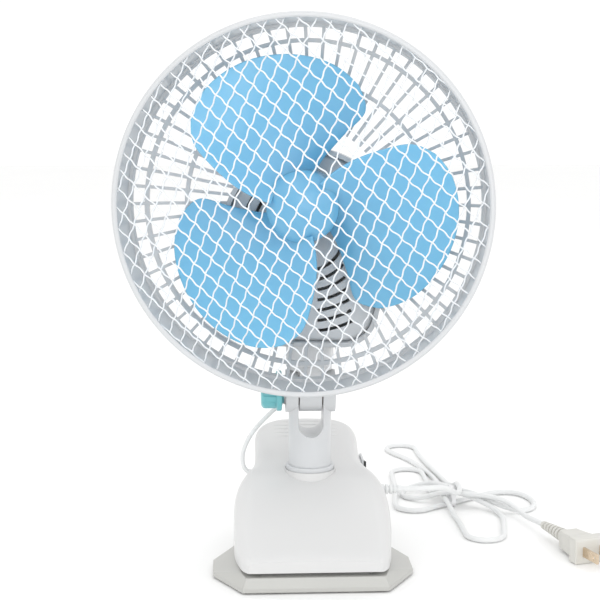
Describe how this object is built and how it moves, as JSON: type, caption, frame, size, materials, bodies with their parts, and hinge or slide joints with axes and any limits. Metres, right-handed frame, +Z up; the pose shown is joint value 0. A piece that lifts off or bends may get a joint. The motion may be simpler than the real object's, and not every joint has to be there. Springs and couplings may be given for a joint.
{
  "type": "desk fan",
  "caption": "Small clip-on desk fan: domed wire guard, three broad blades, motor housing on a swivelling and tilting neck, clip base and tied mains cord with plug.",
  "frame": {"origin": "centre of the rubber foot pad's underside", "axes": "+Z up, -Y towards the base's front, +X to the right seen from the front; the head rests turned 8.4 degrees on its neck"},
  "size_m": [0.3174, 0.3835, 0.35],
  "materials": {
    "white_plastic": "smooth moulded",
    "base_plastic": "smooth moulded",
    "foot_plastic": "smooth moulded",
    "motor_cover": "fine texture",
    "blade_plastic": "smooth moulded, slightly milky",
    "knob_plastic": "smooth moulded",
    "wire": "white dipped coat",
    "steel": "plated",
    "spring_steel": "plain",
    "core_steel": "laminated",
    "copper": "enamelled windings",
    "bronze": "sintered",
    "brass": "plated",
    "fibre": "pressed fibre",
    "rubber": "soft",
    "cord": "soft sheath",
    "plug": "soft moulded",
    "tie": "thin strip",
    "switch": "smooth moulded"
  },
  "bodies": {
    "foot": {"lower_jaw": "foot_plastic", "foot_pad": "rubber", "lower_jaw_pad": "rubber", "hinge_pin": "steel", "jaw_spring": "spring_steel", "mains_cord_start": "cord", "cord_hank": "cord", "cord_tie": "tie", "mains_cord_tail": "cord", "plug_relief": "plug", "plug_body": "plug", "plug_prongs": "brass"},
    "clip": {"base_shell": "base_plastic", "base_cover": "base_plastic", "upper_jaw_pad": "rubber", "cover_screws": "steel", "column": "white_plastic", "column_collar": "white_plastic", "column_screw": "steel", "column_washer": "steel", "tilt_bolt": "steel", "friction_washers": "fibre", "knob_washer": "steel", "lead_grommet": "rubber", "cord_relief": "cord", "rocker_housing": "white_plastic", "wire_caps": "white_plastic", "head_lead": "cord"},
    "rocker": {"rocker": "switch"},
    "knob": {"tilt_knob": "knob_plastic", "knob_nut": "brass"},
    "neck": {"tilt_tongue": "white_plastic", "neck_bush": "rubber", "swivel_washer": "steel", "swivel_rivet": "steel"},
    "head": {"neck_socket": "motor_cover", "motor_front_cover": "motor_cover", "motor_rear_cover": "motor_cover", "rear_cover_screws": "steel", "stator_core": "core_steel", "stator_coils": "copper", "front_bracket": "steel", "rear_bracket": "steel", "front_bush": "bronze", "rear_bush": "bronze", "motor_screws": "steel", "spacer_sleeves": "steel", "front_ring": "white_plastic", "front_grille": "wire", "rear_guard": "white_plastic", "guard_screws": "steel"},
    "fan": {"motor_shaft": "steel", "rotor": "core_steel", "thrust_washers": "fibre", "fan_blade": "blade_plastic"}
  },
  "joints": [
    {"name": "jaw_open", "type": "hinge", "parent": "foot", "child": "clip", "pos_m": [0, 0.054, 0.026], "axis": [-1, 0, 0], "range_deg": [0, 30], "stiffness_Nm_per_rad": 3, "springref_deg": -22.92, "deforming": ["jaw_spring", "mains_cord_start"]},
    {"name": "tilt", "type": "hinge", "parent": "clip", "child": "neck", "pos_m": [0, 0.028, 0.112], "axis": [1, 0, 0], "range_deg": [-60, 30], "deforming": ["head_lead"]},
    {"name": "swivel", "type": "hinge", "parent": "neck", "child": "head", "pos_m": [0, 0.028, 0.1296], "axis": [0, 0, 1], "range_deg": [-31.6, 48.4]},
    {"name": "blade_spin", "type": "hinge", "parent": "head", "child": "fan", "pos_m": [0, 0.028, 0.235], "axis": [0.1461, 0.9893, 0], "continuous": true},
    {"name": "knob_turn", "type": "hinge", "parent": "clip", "child": "knob", "pos_m": [0, 0.028, 0.112], "axis": [-1, 0, 0], "range_deg": [0, 360]},
    {"name": "rocker_tip", "type": "hinge", "parent": "clip", "child": "rocker", "pos_m": [0.0335, 0.06, 0.0538], "axis": [0, 0, 1], "range_deg": [0, 16]}
  ]
}
